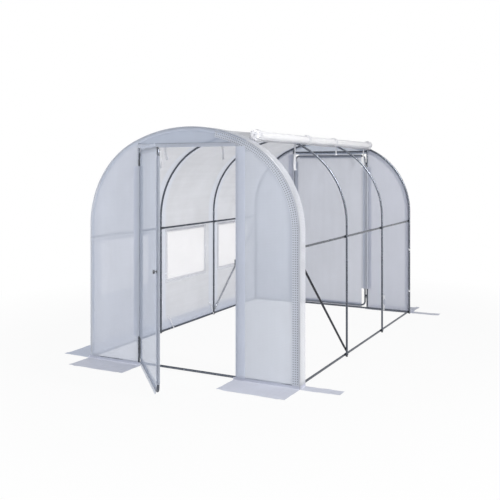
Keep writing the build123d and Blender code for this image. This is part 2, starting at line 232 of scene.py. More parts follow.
class Nodes:
    """The node tree of a new material or world, with short ways to add and link nodes."""

    def __init__(self, owner):
        owner.use_nodes = True
        self.owner, self.tree = owner, owner.node_tree
        self.tree.nodes.clear()
        self.output = self.add(f"Output{type(owner).__name__}")

    def add(self, kind, inputs=None, **settings):
        node = self.tree.nodes.new("ShaderNode" + kind)
        for key, value in settings.items():
            setattr(node, key, value)
        for key, value in (inputs or {}).items():
            if isinstance(value, bpy.types.NodeSocket):
                self.tree.links.new(value, node.inputs[key])
            else:
                node.inputs[key].default_value = value
        return node

    def first(self, *args, **settings):
        """The first output of a new node."""
        return self.add(*args, **settings).outputs[0]

    def math(self, operation, first, second):
        return self.first("Math", {0: first, 1: second}, operation=operation)

    def sum(self, first, first_share, second, second_share):
        shares = (first, first_share), (second, second_share)
        return self.math("ADD", *[self.math("MULTIPLY", *share) for share in shares])

    def noise(self, vector, scale, detail, roughness=0.5):
        inputs = {"Vector": vector, "Scale": scale, "Detail": detail, "Roughness": roughness}
        return self.add("TexNoise", inputs).outputs["Fac"]

    def flat(self):
        """Places on flat cloth, in metres."""
        return self.first("UVMap", uv_map="flat")

    def place(self):
        return self.add("TexCoord").outputs["Object"]

    def part(self, vector, axis):
        return self.add("SeparateXYZ", {0: vector}).outputs[axis]

    def ramp(self, factor, low, high, start=0.0, stop=1.0):
        """A value that goes from low to high as the factor goes from start to stop."""
        return self.first("MapRange", {0: factor, 1: start, 2: stop, 3: low, 4: high})

    def mix(self, factor, first, second):
        """A colour from the first to the second."""
        inputs = {0: factor, 6: first, 7: second}
        return self.add("Mix", inputs, data_type="RGBA").outputs[2]

    def bump(self, strength, distance, height):
        return self.first("Bump", {"Strength": strength, "Distance": distance, "Height": height})

    def bsdf(self, kind, **inputs):
        return self.first("Bsdf" + kind, inputs)

    def blend(self, factor, first, second):
        return self.first("MixShader", {0: factor, 1: first, 2: second})

    def seen(self):
        """1 where a surface is seen, straight, mirrored or through film, and 0 for its light."""
        path = self.add("LightPath").outputs
        seen = self.math("MAXIMUM", path["Is Camera Ray"], path["Is Glossy Ray"])
        return self.math("MAXIMUM", seen, path["Is Transmission Ray"])

    def done(self, shader):
        self.tree.links.new(shader, self.output.inputs["Surface"])
        return self.owner


def new_material(name):
    return Nodes(bpy.data.materials.new(name))


def thread_grid(nodes, flat, spacing, width):
    """1 on the reinforcing threads of a film, spacing apart both ways, and 0 between them."""
    threads = []
    for axis in (0, 1):
        wave = nodes.math("PINGPONG", nodes.part(flat, axis), spacing / 2)
        threads.append(nodes.ramp(wave, 1.0, 0.0, width * 0.35, width * 0.65))
    return nodes.math("MAXIMUM", *threads)


def film_material(name, colour, clear, haze, lift, thickness=0.5, streak=(26.0, 1.3), spacing=0.0115,
                  thread=0.0018, pale=1.25, bay=None):
    """Milky reinforced film. clear is the share seen straight through, thickness the share of the
    rest that scatters back, and streak how often its cloudiness changes each way. Its threads are
    spacing apart, and lift says how far they go to pale times its colour. A film that runs along
    the tunnel is bluer by its hoops, a bay apart, and along its foot."""
    nodes = new_material(name)
    flat = nodes.flat()
    threads = thread_grid(nodes, flat, spacing, thread)
    cloud = nodes.noise(flat, 2.2, 4.0, 0.55)
    streaks = nodes.noise(nodes.first("Mapping", {0: flat, 3: (*streak, 1.0)}), 1.0, 3.0, 0.6)
    # The tone changes with the cloudiness by haze each way; on the long cover the larger haze also paints shade of
    # small folds into its streaks
    cloud_and_fold_shade = nodes.sum(cloud, 0.7, streaks, 0.3)
    cloud_and_fold_shade_share = nodes.ramp(cloud_and_fold_shade, 0.0, 1.0, 0.35, 0.65)
    shade = nodes.mix(cloud_and_fold_shade_share, tone(colour, 1 - haze), tone(colour, 1 + haze))
    if bay:
        from_hoop = nodes.math("PINGPONG", nodes.part(flat, 0), bay / 2)
        by_hoop = nodes.ramp(from_hoop, 0.8, 0.0, 0.07, 0.11)
        by_foot = nodes.ramp(nodes.part(flat, 1), 0.8, 0.0, 0.06, 0.16)
        bluer = (colour[0], colour[1] * 1.04, colour[2] * 1.12, 1.0)
        shade = nodes.mix(nodes.math("MAXIMUM", by_hoop, by_foot), shade, bluer)
    shade = nodes.mix(nodes.math("MULTIPLY", threads, lift), shade, tone(colour, pale))
    height = nodes.sum(threads, lift, nodes.noise(flat, 90.0, 2.0), 0.4)
    normal = nodes.bump(0.2, 0.0005, height)
    front = nodes.bsdf("Diffuse", Color=shade, Normal=normal)
    through = nodes.bsdf("Translucent", Color=shade, Normal=normal)
    milky = nodes.blend(thickness, through, front)
    shine = nodes.first("BsdfGlossy", {"Roughness": 0.3, "Normal": normal}, distribution="GGX")
    fresnel = nodes.first("Fresnel", {"IOR": 1.45, "Normal": normal})
    milky = nodes.blend(nodes.math("MULTIPLY", fresnel, 0.3), milky, shine)
    cloudy = nodes.ramp(cloud_and_fold_shade, clear * 1.08, clear * 0.92, 0.35, 0.65)
    open_share = nodes.math("MULTIPLY", cloudy, nodes.ramp(threads, 1.0, 1.0 - lift))
    return nodes.done(nodes.blend(open_share, milky, nodes.bsdf("Transparent")))


def steel_material(name, colour, roughness, left_highlight_colour=None):
    """Galvanised steel: faint spangle, streaks and duller places. If a last colour is given, what stands
    on the tunnel's left side has it instead, as a painted highlight."""
    nodes = new_material(name)
    place = nodes.place()
    spangle = nodes.add("TexVoronoi", {"Vector": place, "Scale": 260.0}).outputs["Color"]
    grain = nodes.noise(place, 35.0, 4.0, 0.6)
    dull = nodes.noise(place, 6.0, 5.0, 0.65)
    mixed = nodes.sum(grain, 0.7, nodes.first("SeparateColor", {0: spangle}), 0.3)
    shade = nodes.mix(nodes.ramp(mixed, 0.0, 1.0, 0.3, 0.7), tone(colour, 0.84), tone(colour, 1.14))
    # Painted highlight: steel on the tunnel's left side takes the given light colour
    if left_highlight_colour:
        to_right = nodes.ramp(nodes.part(place, 0), 0.0, 1.0, MIDDLE - 0.1, MIDDLE + 0.1)
        shade = nodes.mix(to_right, tone(left_highlight_colour, 1.0), shade)
    rough = nodes.ramp(dull, roughness * 0.8, roughness * 1.35, 0.35, 0.65)
    normal = nodes.bump(0.15, 0.0003, grain)
    inputs = {"Base Color": shade, "Roughness": rough, "Metallic": 0.85, "Normal": normal}
    return nodes.done(nodes.bsdf("Principled", **inputs))


def plastic_material(name, colour, roughness):
    nodes = new_material(name)
    scuff = nodes.noise(nodes.place(), 120.0, 4.0, 0.6)
    shade = nodes.mix(scuff, tone(colour, 0.8), tone(colour, 1.3))
    rough = nodes.ramp(scuff, roughness * 0.85, roughness * 1.2)
    inputs = {"Base Color": shade, "Roughness": rough, "Normal": nodes.bump(0.2, 0.0002, scuff)}
    return nodes.done(nodes.bsdf("Principled", **inputs))


def net_material():
    """Fine white insect net: threads with open squares between them."""
    nodes = new_material("net")
    flat = nodes.flat()
    threads = thread_grid(nodes, flat, 0.0022, 0.0010)
    shade = nodes.mix(nodes.noise(flat, 5.0, 3.0), (0.80, 0.79, 0.81, 1.0), (0.93, 0.92, 0.94, 1.0))
    front = nodes.bsdf("Diffuse", Color=shade, Normal=nodes.bump(0.3, 0.0004, threads))
    thread = nodes.blend(0.45, front, nodes.bsdf("Translucent", Color=shade))
    return nodes.done(nodes.blend(nodes.ramp(threads, 0.75, 0.12), thread, nodes.bsdf("Transparent")))


def ribbon_material():
    """White woven tape."""
    nodes = new_material("ribbon")
    weft = 0.0009
    ribs = nodes.ramp(nodes.math("PINGPONG", nodes.part(nodes.flat(), 1), weft), 0.0, 1.0, 0.0, weft)
    shade = nodes.mix(ribs, (0.74, 0.75, 0.78, 1.0), (0.90, 0.90, 0.92, 1.0))
    front = nodes.bsdf("Diffuse", Color=shade, Normal=nodes.bump(0.5, 0.0004, ribs))
    return nodes.done(nodes.blend(0.3, front, nodes.bsdf("Translucent", Color=shade)))


FILMS = {  # colour, clear, haze, lift, thickness and streak
    "end_film": ((0.65, 0.68, 0.76), 0.18, 0.03, 0.12, 0.62, (9.0, 0.8)),
    # Painted shade: the latch side's, the back end's and the top panels' films are darker copies of the end film
    "latch_film": ((0.60, 0.635, 0.71), 0.18, 0.03, 0.12, 0.62, (9.0, 0.8)),
    "back_film": ((0.52, 0.54, 0.62), 0.14, 0.03, 0.12, 0.66, (9.0, 0.8)),
    "top_film": ((0.455, 0.51, 0.62), 0.22, 0.05, 0.12, 0.6, (0.8, 16.0)),
    # Painted shade: the door films are darker, bluer copies of the end film, most of all the front leaf's
    "front_door_film": ((0.42, 0.46, 0.55), 0.30, 0.04, 0.15, 0.5, (14.0, 0.8)),
    "back_door_film": ((0.55, 0.57, 0.64), 0.15, 0.04, 0.12, 0.66, (14.0, 0.8)),
    "post_film": ((0.765, 0.80, 0.89), 0.12, 0.03, 0.12, 0.6, (9.0, 0.8)),
    "hem_film": ((0.64, 0.67, 0.75), 0.05, 0.04, 0.2, 0.6),
    "sleeve_film": ((0.60, 0.64, 0.73), 0.14, 0.05, 0.2, 0.6),
    # The leaves' top and bottom sleeves: clearer than the sleeve film, and darker as painted shade
    "clear_sleeve": ((0.46, 0.50, 0.59), 0.45, 0.04, 0.15, 0.5),
    "roll_film": ((0.93, 0.93, 0.96), 0.02, 0.04, 0.08, 0.9),
    "border_film": ((0.80, 0.82, 0.88), 0.72, 0.03, 0.2),
    "band_film": ((0.77, 0.79, 0.86), 0.24, 0.05, 0.4),
    "skirt_film": ((0.59, 0.61, 0.70), 0.08, 0.04, 0.15, 0.8),
    # Painted shade: the left skirt is a darker, bluer copy of the skirt film
    "left_skirt_film": ((0.395, 0.47, 0.65), 0.08, 0.04, 0.15, 0.8),
}
LOOKS = {name: film_material(name, *settings) for name, settings in FILMS.items()}
for look in (
    # Its larger haze paints shade of small folds into its streaks along the tunnel
    film_material("long_film", (0.62, 0.63, 0.668), 0.16, 0.08, 0.12, 0.55, (0.9, 14.0), bay=BAY),
    film_material("seam_net", (0.40, 0.415, 0.45), 0.34, 0.05, 0.95, 0.6, spacing=0.018, thread=0.010,
                  pale=1.66),
    net_material(),
    ribbon_material(),
):
    LOOKS[look.name] = look
SLOTS = {"net": "window_mesh", "ribbon": "tie_ribbon"}  # other looks are cover_film

STEELS = {
    "galvanised_tube": steel_material("galvanised_tube", (0.108, 0.118, 0.140), 0.24),
    "hinge_steel": steel_material("hinge_steel", (0.085, 0.09, 0.10), 0.36),
    "foot_plastic": plastic_material("foot_plastic", (0.03, 0.03, 0.034), 0.5),
}
# Painted light on the braces: the left brace is painted light, as a highlight, and the right one darker than the
# other tubes, as shade
brace_steel = steel_material("brace_steel", (0.028, 0.031, 0.040), 0.24, (0.33, 0.345, 0.38))
for subpart in frame["record"]["subparts"]:
    node, slot = subpart["node"], subpart["material_slot"]
    if slot in STEELS:
        materials = frame["nodes"][node].data.materials
        materials.clear()
        materials.append(brace_steel if node == "corner_braces" else STEELS[slot])

# Pieces


def make_piece(name, vertices, faces, material, body):
    mesh = bpy.data.meshes.new(name)
    mesh.from_pydata(vertices, [], faces)
    mesh.shade_smooth()
    mesh.materials.append(material)
    piece = add_object(name, mesh)
    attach(piece, body)
    return piece


def grid_piece(name, points, flat, look, skip, body="greenhouse"):
    """A piece from a grid of points, with its pair of flat places in metres as its UVs. skip marks
    the cells that are left out."""
    rows, columns = points.shape[:2]
    index = np.arange(rows * columns).reshape(rows, columns)
    quads = np.stack([index[:-1, :-1], index[:-1, 1:], index[1:, 1:], index[1:, :-1]], -1)
    quads = quads[~skip] if skip is not None else quads.reshape(-1, 4)
    used, packed = np.unique(quads, return_inverse=True)
    quads = packed.reshape(-1, 4)
    vertices, slot = points.reshape(-1, 3)[used].tolist(), SLOTS.get(look, "cover_film")
    piece = make_piece(name, vertices, quads.tolist(), LOOKS[look], body)
    places = stack(*flat).reshape(-1, 2)[used][quads.ravel()]
    layer = piece.data.uv_layers.new(name="flat")
    layer.data.foreach_set("uv", places.astype(np.float32).ravel())
    return piece


def sheet(name, points, flat, look, skip=None, body="greenhouse"):
    """A grid piece, from its points, flat places and skipped cells."""
    piece = grid_piece(name, points, flat, look, skip, body)
    return piece


def steel_piece(name, parts):
    """One piece from several (vertices, faces) parts."""
    vertices, faces = [], []
    for part_vertices, part_faces in parts:
        faces += [[len(vertices) + i for i in face] for face in part_faces]
        vertices += part_vertices
    make_piece(name, vertices, faces, STEELS["hinge_steel"], "greenhouse")


# Film along the tunnel

SAG = 0.0075  # the film's, in the middle of a bay
MESH_LAP = 0.015
mesh_low, mesh_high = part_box("window_meshes")
WINDOW_SETBACK = mesh_low.y + MESH_LAP - HOOP_YS[0]
WINDOW_WIDTH = mesh_high.y - MESH_LAP - HOOP_YS[-2] - WINDOW_SETBACK
WINDOW_SILL, WINDOW_TOP = mesh_low.z + MESH_LAP, mesh_high.z - MESH_LAP
windows = [(y + WINDOW_SETBACK, y + WINDOW_SETBACK + WINDOW_WIDTH) for y in HOOP_YS[:-1]]


def bay_sag(y):
    """How far the film draws in between hoops, at places y."""
    share = np.abs(((y / BAY) % 1) * 2 - 1)
    inside = (y > HOOP_YS[0]) & (y < LENGTH)
    return np.where(inside, SAG * (1 - share**2.2), 0.0)


def tension_folds(along, across, seed):
    """Small ridges along one way, from -1 to 1."""
    drift = noise(along * 1.1, across * 1.7, seed) * 0.35
    ridges = noise(along * 1.3, (across + drift * 0.06) * 17, seed + 1)
    finer = noise(along * 2.9, across * 34, seed + 2)
    patches = np.clip(noise(along * 1.9, across * 2.3, seed + 3) + 0.35, 0, 1)
    return (ridges * 0.7 + finer * 0.3) * patches


def cover_surface(s, y):
    """Points of the cover at distances s round the hoops and y along them."""
    x, z, nx, nz = hoop_line(s)
    from_hoop = np.abs(((y / BAY + 0.5) % 1) - 0.5) * 2
    lift = FILM - bay_sag(y) + 0.0028 * tension_folds(y, s, 11) * np.clip(from_hoop * 6, 0, 1)
    return stack(x + nx * lift, y, z + nz * lift)


film_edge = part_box("crown_film")[1].x - MIDDLE
COVER_STOP = hoop_s(film_edge * CROWN_RADIUS / (CROWN_RADIUS + FILM_OUT))
cover_s = lines(wall_low.z, COVER_STOP, through=(WINDOW_SILL, WINDOW_TOP, BEND))
cover_y = lines(wall_low.y, wall_high.y, through=[edge for window in windows for edge in window])
by_windows = sum(cells_between(cover_y, *window) for window in windows) > 0
in_window = cells_between(cover_s, WINDOW_SILL, WINDOW_TOP)[:, None] & by_windows
s_grid, y_grid = grid(cover_s, cover_y)
points = cover_surface(s_grid, y_grid)
cover = grid_piece("long_cover", points, (y_grid, s_grid), "long_film", in_window)
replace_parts(cover, "left_wall_film", "left_shoulder_film", "crown_film")

# Film over the ends

PANELS = {  # side, look and grid rows
    "hinge_side": (-1, "end_film", 84),
    "latch_side": (1, "latch_film", 84),
    "top": (0, "top_film", 10),
}
PANEL_LAP = 0.002  # how far a panel reaches past its hoop's centre line


def panel_bulge(u, v, inner, seed):
    """How far an end panel stands out from its flat: pulled in slightly, folded at the edges."""
    to_hoop = np.maximum(hoop_top(u) - v, 0) + np.maximum(HALF - np.abs(u), 0)
    edge = np.minimum(np.abs(u - inner), to_hoop)
    free = rise(edge - 0.012, 0.05)
    folds = 0.0022 * tension_folds(v, u, seed) + 0.0015 * tension_folds(u, v * 0.8, seed + 40)
    near_ground = np.exp(-v / 0.09) * 0.0035 * noise(u * 16, v * 5, seed + 7)
    return free * (folds - 0.0035 * rise(edge, 0.2)) + near_ground


def end_panel(end, kind, seed):
    """A fixed panel of an end: from its hoop to a door post, or the one on top."""
    side, look, rows = PANELS[kind]
    if side:
        inner, bottom = HINGE_POST if side < 0 else LATCH_EDGE, GROUND_CLEAR
        outer = side * (HALF + PANEL_LAP)
        u = outer + (inner - outer) * np.linspace(0, 1, 34) ** 1.8
        # The back end's panels get a darker copy of the film: painted shade
        look = look if end == "front" else "back_film"
    else:
        inner, bottom = inf, TOP_EDGE
        u = lines(HINGE_POST, LATCH_EDGE)
    u_grid, row_grid = np.meshgrid(u, np.linspace(0, 1, rows))
    v = bottom + (hoop_top(u_grid, PANEL_LAP) - bottom) * row_grid
    points = at(end, u_grid, v, FILM + panel_bulge(u_grid, v, inner, seed))
    panel = sheet(f"{end}_{kind}_sheet", points, (u_grid - u.min(), v), look)
    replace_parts(panel, f"{end}_{kind}_panel")


for number, end in enumerate(ENDS):
    for kind in PANELS:
        end_panel(end, kind, 100 + 10 * number + len(kind))

# Sleeves, seams and hems

LOWER_NOTCH, UPPER_NOTCH = 0.205, 0.14  # of the door films, round their hinges
NOTCH_TOP, NOTCH_FOOT = LEAF_BOTTOM + LOWER_NOTCH, LEAF_TOP - UPPER_NOTCH
BAND_WIDTHS = {"front": 0.1, "back": 0.012}
ALONG_HOOP, UP_POST = 0.025, 0.03  # grid steps
SEAM_START, CROWN_NET_START = 0.27, -0.25  # across from the middle
SEAM_WIDTH, CROWN_NET_WIDTH = 0.054, 0.118
SLEEVE_WIDTH = 0.012
CROWN_LAP = 0.004
HEM_FOOT = GROUND_CLEAR + 0.004
HEM_HEAD = HEM_FOOT + 0.018
HEADER_HEM, LATCH_HEM, HINGE_HEM = 0.03, 0.075, 0.045
CATCH_GAP = 0.008


def over_hoop(reach, down, back):
    """Section of a strip up an end panel, over the hoop and along the cover. down are its places
    below the turn, and back those behind it."""
    turn = np.linspace(0, pi / 2, 7)
    arc = zip(reach * np.cos(turn), reach * np.sin(turn))
    return [*[(reach, -inwards) for inwards in down], *arc, *[(-along, reach) for along in back]]


def hoop_strip(name, end, s, section, look, ripple=0.0):
    """A strip along an end hoop. Its section's points are outwards of the end and of the hoop."""
    section = np.array(section)
    place = distances(section)
    x, z, nx, nz = (part[:, None] for part in hoop_line(s))
    out = section[:, 0] + ripple * noise(s[:, None] * 14, place * 30, len(name) * 3)
    reach = section[:, 1]
    points = stack(x + nx * reach, -out if end == "front" else LENGTH + out, z + nz * reach)
    return sheet(name, points, (place, s[:, None]), look)


def flat_strip(name, end, u, v, look):
    """A straight strip that lies on an end's panels."""
    u, v = np.meshgrid(u, v)
    points = at(end, u, v, LIFT + 0.0004 * noise(u * 12, v * 12, len(name)))
    sheet(name, points, (u, v), look)


def post_sleeve(name, end, post, side, v):
    """A hem's tail, which wraps a door post. side is 1 where the doorway is to the right of it."""
    turn, v = np.meshgrid(np.radians(np.linspace(60, -200, 15)), v)
    reach = TUBE + 0.0014
    r = reach + 0.0003 * noise(turn * 2, v * 9, 61)
    points = at(end, post + side * r * np.cos(turn), v, r * np.sin(turn))
    sheet(name, points, ((turn[0, 0] - turn) * reach, v), "post_film")


sleeve_s = lines(GROUND_CLEAR, COVER_STOP, ALONG_HOOP)
band_s = lines(COVER_STOP - CROWN_LAP, GIRTH - GROUND_CLEAR, ALONG_HOOP)
seam_s = lines(hoop_s(SEAM_START), GIRTH - GROUND_CLEAR, ALONG_HOOP)
net_s = lines(hoop_s(CROWN_NET_START), COVER_STOP - CROWN_LAP, ALONG_HOOP)
for end in ENDS:
    section = over_hoop(LIFT, (2 * SLEEVE_WIDTH, SLEEVE_WIDTH), (SLEEVE_WIDTH / 2, SLEEVE_WIDTH))
    hoop_strip(f"{end}_sleeve", end, sleeve_s, section, "sleeve_film", 0.0004)
for end in ENDS:
    back = lines(FILM_OUT, BAND_WIDTHS[end], 0.018)[1:] - FILM_OUT
    section = over_hoop(BAND_LIFT, (SLEEVE_WIDTH,), back)
    band = hoop_strip(f"{end}_side_band", end, band_s, section, "band_film", 0.0006)
    if end == "front":
        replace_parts(band, "side_bands")
for end in ENDS:
    section = [(LIFT, -along) for along in lines(0.0, SEAM_WIDTH, 0.018)[::-1]]
    hoop_strip(f"{end}_seam", end, seam_s, section, "seam_net")
    section = [(-along, NET_LIFT) for along in lines(PANEL_LAP, CROWN_NET_WIDTH)]
    hoop_strip(f"{end}_crown_net", end, net_s, section, "seam_net")

catch_low, catch_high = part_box("door_catches")
between_hinges = lines(NOTCH_TOP, NOTCH_FOOT, UP_POST)
foot_rows = lines(HEM_FOOT, HEM_HEAD, 0.009)
post_rows = lines(HEM_HEAD, TOP_EDGE, UP_POST)
header_rows = lines(TOP_EDGE, TOP_EDGE + HEADER_HEM, 0.01)
post_hem = lines(HINGE_POST - HINGE_HEM, HINGE_POST + 0.012, 0.011)
HEMS = (  # u, v and look
    ("hinge_side", lines(-HALF, HINGE_POST), foot_rows, "seam_net"),
    ("latch_side", lines(LATCH_EDGE, HALF), foot_rows, "seam_net"),
    ("hinge_post", post_hem, between_hinges, "hem_film"),
    ("latch_post", lines(LATCH_EDGE, LATCH_POST + LATCH_HEM, 0.014), post_rows, "post_film"),
)
below_catch = lines(0.07, catch_low.z - CATCH_GAP, UP_POST)
above_catch = lines(catch_high.z + CATCH_GAP, HEADER - TUBE - 0.012, UP_POST)
POST_SLEEVES = (  # post, side and v
    ("hinge_post", HINGE_POST, 1, between_hinges),
    ("lower_latch_post", LATCH_POST, -1, below_catch),
    ("upper_latch_post", LATCH_POST, -1, above_catch),
)
for end in ENDS:
    for kind, u, v, look in HEMS:
        flat_strip(f"{end}_{kind}_hem", end, u, v, look)
    for kind, post, side, v in POST_SLEEVES:
        post_sleeve(f"{end}_{kind}_sleeve", end, post, side, v)
    flat_strip(f"{end}_header_hem", end, lines(HINGE_POST, LATCH_EDGE), header_rows, "hem_film")

# Skirts

LAP_UP = 0.026  # stitched to the film above the ground
ON_GROUND = 0.0015
CRUMPLE_TOP = 0.014
SKIRT_PAST = 0.03  # past the side of its panel
skirt_low, skirt_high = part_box("ground_skirts")
LEFT_SKIRT = LEFT - skirt_low.x - FILM_IN
LATCH_SKIRT = -skirt_low.y - FILM_IN
BAND_SKIRT = skirt_high.x - RIGHT - FILM_IN
SHORTER = {"front": (0.155, 0.138), "back": (0.07, 0.0)}  # skirts on the hinge and latch sides


def skirt_section(reach):
    """Down the film, round a fold and out over the ground: outwards and up places, in flat order."""
    radius = 0.006
    down = [(SKIRT_LIFT, LAP_UP), (SKIRT_LIFT, LAP_UP * 0.6)]
    turn = [
        (SKIRT_LIFT + radius * (1 - cos(a)), ON_GROUND + radius * (1 - sin(a)))
        for a in np.linspace(0, pi / 2, 5)
    ]
    return np.array([*down, *turn, *[(w, ON_GROUND) for w in lines(LIFT + 0.03, LIFT + reach)]])


def skirt(name, reach, along, place, seed, crumple=0.0, look="skirt_film"):
    """A skirt out over the ground. place gives points for its along, outwards and up places."""
    section = skirt_section(reach)
    laid = distances(section)
    a, d = grid(along, laid)
    out = section[:, 0] + 0.003 * noise(a * 9, seed, seed + 2) * (d / laid[-1])
    on_ground = rise(d - 0.05, 0.08)
    waves = noise(a * 7, d * 9, seed) * 0.6 + noise(a * 19, d * 23, seed + 1) * 0.4
    up = section[:, 1] + on_ground * np.maximum(0.0045 * waves + ON_GROUND, 0)
    corner = np.minimum(a - a.min(), a.max() - a) < 0.05
    up += corner * on_ground * 0.003 * rise(d - laid[-1] + 0.08, 0.08)
    if crumple:
        rumple = np.abs(noise(a * 26, d * 20, seed + 3)) + np.abs(noise(a * 11, d * 13, seed + 4))
        up += on_ground * crumple * rumple * (1 - rise(a - a.min(), 0.16))
        up = np.where(on_ground > 0, np.minimum(up, CRUMPLE_TOP), up)  # an open door passes over it
    return sheet(name, place(a, out, up), (a, d), look)


def beside(foot, side):
    """Places beside the tunnel: along is Y, and outwards is away from its legs at foot."""
    return lambda a, w, v: stack(foot + side * w, a, v)


def beyond(end):
    return lambda a, w, v: at(end, a, v, w)


# The left skirt's darker, bluer film is painted shade
left_skirt = skirt("left_skirt", LEFT_SKIRT, lines(-TUBE, LENGTH + TUBE), beside(LEFT, -1), 301,
                   look="left_skirt_film")
for number, end in enumerate(ENDS):
    hinge_less, latch_less = SHORTER[end]
    along = lines(-HALF - SKIRT_PAST, HINGE_POST + SKIRT_PAST)
    skirt(f"{end}_hinge_side_skirt", LATCH_SKIRT - hinge_less, along, beyond(end), 310 + number,
          crumple=0.03 * number)
    along = lines(LATCH_POST - SKIRT_PAST, HALF + TUBE)
    skirt(f"{end}_latch_side_skirt", LATCH_SKIRT - latch_less, along, beyond(end), 320 + number)
for end, start in (("front", -FILM_OUT), ("back", LENGTH + 0.02)):
    along = lines(start, start + BAND_WIDTHS["front"], 0.01)
    skirt(f"{end}_band_skirt", BAND_SKIRT, along, beside(RIGHT, 1), 330 + len(end))
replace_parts(left_skirt, "ground_skirts")

# Windows: nets, borders and rolled flaps

BORDER = 0.04
BORDER_GAP, NET_GAP = 0.0012, 0.0022  # inwards of the film
FLAP_TIE_REACH, FLAP_TIE_WIDTH = 0.2, 0.016
flap_low, flap_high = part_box("window_flaps")
FLAP_X, _, FLAP_Z = centre("window_flaps")
FLAP_ROLL = (flap_high.z - flap_low.z) / 2


def spiral(inner, outer, length, turn_steps):
    """Angles and radii of a roll's spiral of that flat length, and how far along it they are."""
    turns = length / (pi * (inner + outer))
    angle = np.linspace(0, turns * 2 * pi, int(turns * turn_steps))
    radius = inner + (outer - inner) * angle / angle[-1]
    return angle, radius, running_sum(radius[1:] * np.diff(angle))


def window_border(number, first, last):
    """A flat border round a window's opening, with sewn corners."""
    y = lines(first - BORDER, last + BORDER, through=(first, last))
    z = lines(WINDOW_SILL - BORDER, WINDOW_TOP + BORDER, through=(WINDOW_SILL, WINDOW_TOP))
    hole = cells_between(z, WINDOW_SILL, WINDOW_TOP)[:, None] & cells_between(y, first, last)
    y, z = np.meshgrid(y, z)
    x = LEFT - FILM + BORDER_GAP + 0.0006 * noise(y * 15, z * 15, 5) + bay_sag(y)
    return grid_piece(f"window_border_{number}", stack(x, y, z), (y, z), "border_film", hole)


def window_net(number, first, last):
    z = lines(WINDOW_SILL - MESH_LAP, WINDOW_TOP + MESH_LAP)
    y, z = np.meshgrid(lines(first - MESH_LAP, last + MESH_LAP), z)
    inside = np.clip((y - first) * (last - y) / (last - first) ** 2 * 4, 0, 1)
    x = LEFT - FILM + NET_GAP + bay_sag(y) + 0.004 * inside * noise(y * 3, z * 3, 400 + number)
    return sheet(f"window_net_{number}", stack(x, y, z), (y, z), "net")


def window_flap(number, first, last):
    """A window's flap, rolled up outside above the opening and tied in two places."""
    middle = (first + last) / 2
    angle, radius, laid = spiral(0.0022, FLAP_ROLL - 0.0006, WINDOW_TOP - WINDOW_SILL + 0.03, 14)
    places = lines(first - MESH_LAP, last + MESH_LAP, 0.03)[:, None]
    squeeze = hump(np.abs(places - middle) - FLAP_TIE_REACH, 0.02)
    r = radius * (1 - 0.12 * squeeze) * (1 + 0.05 * noise(places * 9, angle * 0.8, 410 + number))
    turn = angle - angle[-1]
    shift = 0.003 * noise(angle * 0.5, number, 420)
    at_end = np.abs(places - middle) > (last - first) / 2
    points = stack(FLAP_X + r * np.cos(turn), places + shift * at_end, FLAP_Z + r * np.sin(turn))
    flat = (places, laid)
    flap = sheet(f"window_flap_{number}", points, flat, "roll_film")
    for side, word in ((-1, "near"), (1, "far")):
        place = (FLAP_X, middle + side * FLAP_TIE_REACH, FLAP_Z)
        ring_tie(f"flap_tie_{number}_{word}", place, FLAP_ROLL * 0.92, FLAP_TIE_WIDTH, 0.003,
                 430 + number * 2 + side)
    return flap


def ring_tie(name, middle, radius, width, puff, seed):
    """A wide ribbon tied round something that runs along Y, so that it puffs up in gathers."""
    t, v = grid(np.linspace(0, 2 * pi, 109), np.linspace(-0.5, 0.5, 11))
    over, up = np.cos(t), np.sin(t)
    gathers = np.sin(t * 15 + 2.5 * noise(over * 2 + 5, up * 2 + 5, seed))
    lumps = noise(over * 2.4 + 9, up * 2.4 + 9, seed + 1)
    crown = np.sqrt(np.maximum(1 - (2 * v) ** 2, 0))
    frill = np.clip(np.abs(2 * v) - 0.7, 0, 1) / 0.3
    r = radius + puff * (crown * (0.72 + 0.16 * gathers + 0.2 * lumps) + frill * (0.3 + 0.22 * gathers))
    side = width * v * (1 + 0.16 * lumps + 0.07 * gathers)
    points = stack(middle[0] + r * over, middle[1] + side, middle[2] + r * up)
    laid = running_sum(np.linalg.norm(np.diff(points, axis=1), axis=2).mean(axis=0))
    return sheet(name, points, (laid, t * (radius + puff * 0.7)), "ribbon")


for number, window in enumerate(windows, 1):
    made_net = window_net(number, *window)
    window_border(number, *window)
    made_flap = window_flap(number, *window)
    if number == 1:
        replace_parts(made_flap, "window_flaps")
        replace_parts(made_net, "window_meshes")

# Rolled-up side, its ties and other ribbons

roll_low, roll_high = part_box("rolled_side_film")
ROLL_X, ROLL_Y, ROLL_Z = centre("rolled_side_film")
ROLL = (roll_high.z - roll_low.z) / 2
ties_low, ties_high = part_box("roll_ties")
TIE_HALF = 0.017
END_TIE, MIDDLE_TIE = (0.072, 0.017), (0.054, 0.013)  # width and puff
RIBBON_WIDTH = 0.022
TIE_YS = [ties_low.y + TIE_HALF, 1.155 * BAY, 1.82 * BAY, ties_high.y - TIE_HALF]


